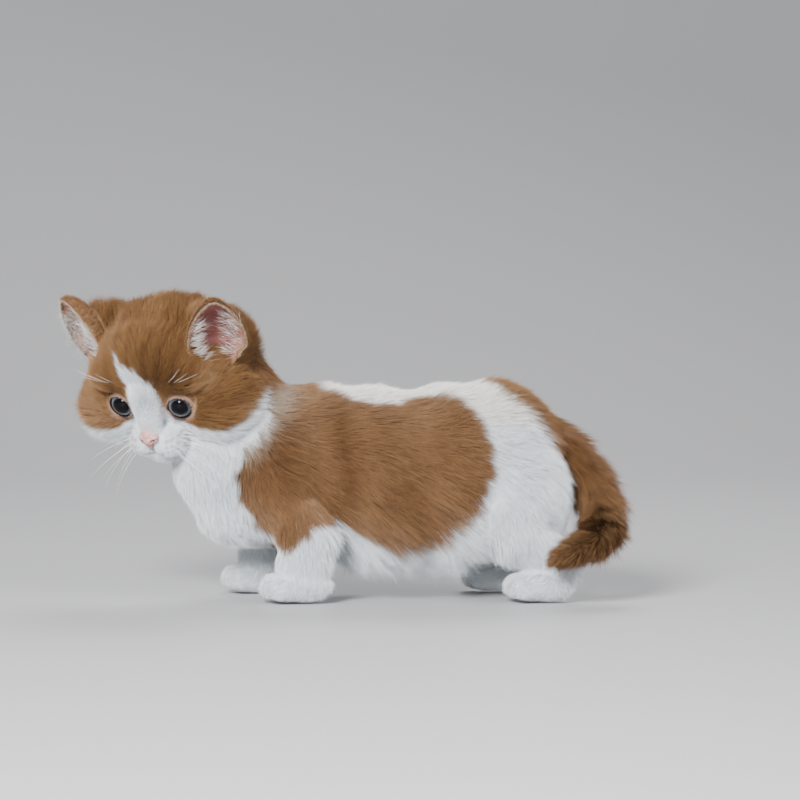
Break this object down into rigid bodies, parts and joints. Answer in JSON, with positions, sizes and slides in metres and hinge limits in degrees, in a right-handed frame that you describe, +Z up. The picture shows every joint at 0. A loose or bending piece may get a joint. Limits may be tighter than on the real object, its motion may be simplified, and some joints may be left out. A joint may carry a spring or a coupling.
{
  "type": "munchkin kitten, still life-size model",
  "caption": "Short-legged ginger and white kitten standing on four paws, head turned to its left and looking down.",
  "frame": {"origin": "middle of the bounding box's footprint, on the floor under the paws", "axes": "+Z up, -X towards the chest, -Y towards the kitten's left side"},
  "size_m": [0.2382, 0.0912, 0.1292],
  "materials": {
    "coat_ginger": "matte",
    "coat_white": "matte",
    "bare_skin": "satin",
    "eye": "gloss"
  },
  "bodies": {
    "root": {"torso": "coat_ginger", "neck": "coat_ginger", "head": "coat_ginger", "nose": "bare_skin", "ear_left": "coat_ginger", "ear_right": "coat_ginger", "eye_left": "eye", "eye_right": "eye", "foreleg_left": "coat_white", "foreleg_right": "coat_white", "forepaw_left": "coat_white", "forepaw_right": "coat_white", "hind_leg_left": "coat_white", "hind_leg_right": "coat_white", "hind_paw_left": "coat_white", "hind_paw_right": "coat_white", "tail_base": "coat_ginger", "tail_middle": "coat_ginger", "tail_tip": "coat_ginger"}
  },
  "joints": []
}
